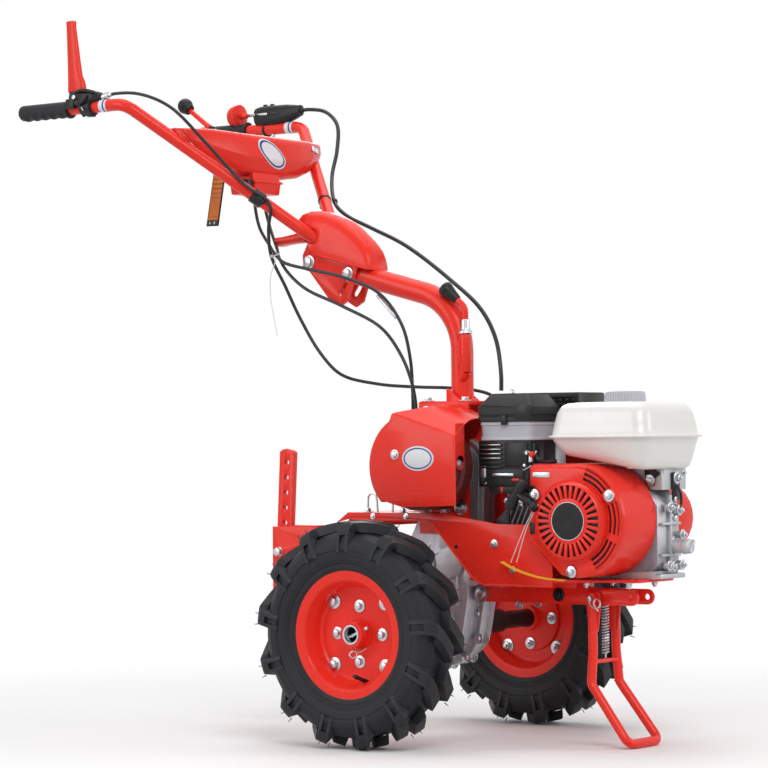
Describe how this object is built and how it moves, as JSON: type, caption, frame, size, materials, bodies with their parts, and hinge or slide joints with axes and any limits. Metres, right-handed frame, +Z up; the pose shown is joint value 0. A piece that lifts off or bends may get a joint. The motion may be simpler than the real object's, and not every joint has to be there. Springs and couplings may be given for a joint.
{
  "type": "hand tractor",
  "caption": "Walk-behind two-wheel tractor with a petrol engine on a front platform, belt covers, curved steering column with tilting handlebar, rear hitch and parking stand.",
  "frame": {"origin": "on the ground under the middle of the whole machine", "axes": "+Z up, -Y the front of the machine, +X its left side, wheels turn about X"},
  "size_m": [0.675, 1.3383, 1.3703],
  "materials": {
    "tyre": "matt ribbed rubber",
    "red_paint": "gloss enamel",
    "maroon_paint": "satin enamel",
    "red_plastic": "gloss moulding",
    "dark_steel": "satin black",
    "black_sheet": "satin black",
    "casting": "cast, slightly rough",
    "zinc": "zinc plated",
    "black_plastic": "fine grain",
    "tank_white": "gloss",
    "cap_grey": "satin",
    "grip_rubber": "ribbed",
    "cable_black": "satin sheath",
    "amber_plastic": "ribbed"
  },
  "bodies": {
    "machine": {"gearbox_housing": "casting", "chassis_side_right": "red_paint", "chassis_side_left": "red_paint", "rear_deck": "red_paint", "engine_platform": "red_paint", "front_bar_right": "red_paint", "front_bar_left": "red_paint", "stand_pin": "zinc", "engine_block": "casting", "fan_housing": "red_paint", "recoil_starter": "red_paint", "starter_grip": "black_plastic", "fuel_tank": "tank_white", "fuel_cap": "cap_grey", "oil_filler": "casting", "air_cleaner_cap": "black_plastic", "air_cleaner_body": "cap_grey", "control_box": "black_plastic", "muffler_guard": "black_sheet", "muffler": "casting", "drive_cover": "red_paint", "pto_pulley": "maroon_paint", "pto_cover": "red_paint", "column_bracket": "red_paint", "steering_column": "red_paint", "pivot_bolt": "zinc", "clamp_bolt": "zinc", "pto_lever": "red_paint", "pto_knob": "black_plastic", "clutch_cable": "cable_black", "shift_cable_upper": "cable_black", "shift_cable_lower": "cable_black", "throttle_cable": "cable_black", "hitch_bracket": "red_paint", "depth_bar": "red_paint"},
    "wheel_right": {"tyre_right": "tyre", "rim_right": "red_paint", "hub_right": "red_paint", "axle_shaft_right": "dark_steel"},
    "wheel_left": {"tyre_left": "tyre", "rim_left": "red_paint", "hub_left": "red_paint", "axle_shaft_left": "dark_steel"},
    "stand": {"stand_leg": "red_paint", "stand_spring": "zinc"},
    "handlebar": {"bracket_plate_right": "red_paint", "bracket_plate_left": "red_paint", "handle_tube_right": "red_paint", "handle_tube_left": "red_paint", "grip_right": "grip_rubber", "grip_left": "grip_rubber", "bracket_cover": "red_paint", "clutch_perch": "black_plastic", "clutch_lever": "red_plastic", "throttle_housing": "black_plastic", "throttle_knob": "red_plastic", "console_shell": "red_plastic", "gear_lever": "red_paint", "gear_knob": "black_plastic", "hanging_strip": "amber_plastic"}
  },
  "joints": [
    {"name": "wheel_right_roll", "type": "hinge", "parent": "machine", "child": "wheel_right", "pos_m": [-0.285, -0.15715, 0.205], "axis": [1, 0, 0], "continuous": true},
    {"name": "wheel_left_roll", "type": "hinge", "parent": "machine", "child": "wheel_left", "pos_m": [0.285, -0.15715, 0.205], "axis": [1, 0, 0], "continuous": true},
    {"name": "stand_fold", "type": "hinge", "parent": "machine", "child": "stand", "pos_m": [0, -0.49615, 0.265], "axis": [1, 0, 0], "range_deg": [0, 78]},
    {"name": "handlebar_tilt", "type": "hinge", "parent": "machine", "child": "handlebar", "pos_m": [0, 0.14785, 0.897], "axis": [-1, 0, 0], "range_deg": [0, 24], "deforming": ["clutch_cable", "shift_cable_upper", "shift_cable_lower", "throttle_cable"]}
  ]
}
